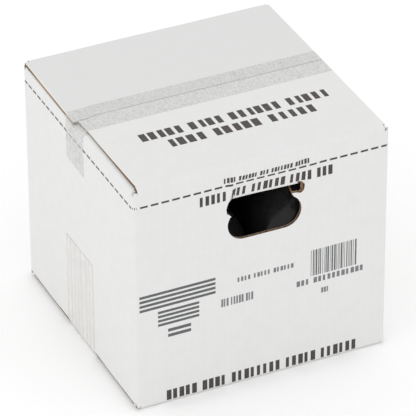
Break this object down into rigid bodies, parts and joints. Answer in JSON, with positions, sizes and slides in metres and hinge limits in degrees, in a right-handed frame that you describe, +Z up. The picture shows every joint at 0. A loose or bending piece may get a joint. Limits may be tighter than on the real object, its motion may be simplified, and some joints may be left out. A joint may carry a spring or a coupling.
{
  "type": "corrugated shipping carton",
  "caption": "Taped white corrugated shipping carton, packed with square dark plastic jugs, with a torn die-cut hand hole in front and a neat one behind.",
  "frame": {"origin": "on the floor under the middle of the carton", "axes": "+X to the right along the front panel, +Y from the front panel with the torn hand hole to the rear panel, +Z up"},
  "size_m": [0.3122, 0.3075, 0.2935],
  "materials": {
    "white_board": "matte",
    "clear_tape": "satin",
    "beige_tape": "satin",
    "dark_jug": "gloss"
  },
  "bodies": {
    "root": {"carton": "white_board", "tape_top": "clear_tape", "tape_bottom": "beige_tape", "jug_front_left": "dark_jug", "jug_front_right": "dark_jug", "jug_rear_left": "dark_jug", "jug_rear_right": "dark_jug"}
  },
  "joints": []
}
